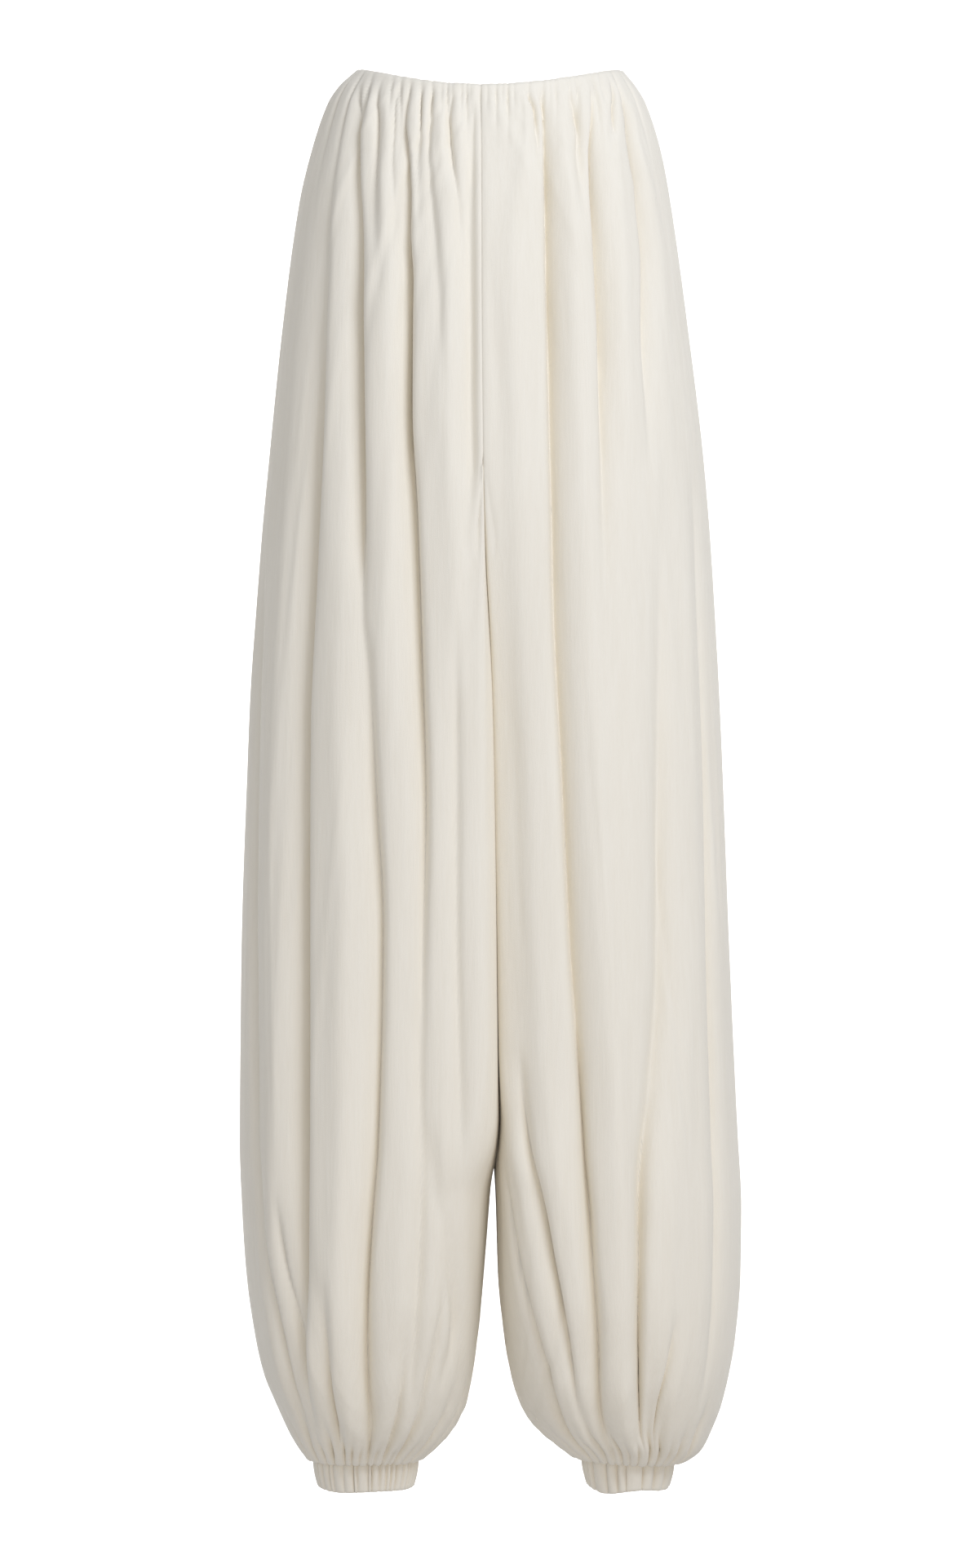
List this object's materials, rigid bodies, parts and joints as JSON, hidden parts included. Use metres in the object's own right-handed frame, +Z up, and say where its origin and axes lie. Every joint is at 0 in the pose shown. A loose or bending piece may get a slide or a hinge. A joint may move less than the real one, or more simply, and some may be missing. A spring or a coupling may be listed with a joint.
{
  "type": "wide-leg balloon trousers",
  "caption": "Loose wide-leg trousers in soft woven cloth, gathered at an elastic waist and into pleated elastic ankle cuffs, hollow as when worn.",
  "frame": {"origin": "centre of the waist opening, level with the waist edge at the two sides", "axes": "+Z up towards the waist, -Y towards the front of the garment, +X towards the wearer's left side"},
  "size_m": [0.4042, 0.2521, 1.1428],
  "materials": {
    "cloth": "matte soft woven crepe"
  },
  "bodies": {
    "root": {"right_front_leg": "cloth", "left_front_leg": "cloth", "right_back_leg": "cloth", "left_back_leg": "cloth", "waist_casing": "cloth", "right_ankle_cuff": "cloth", "left_ankle_cuff": "cloth"}
  },
  "joints": []
}
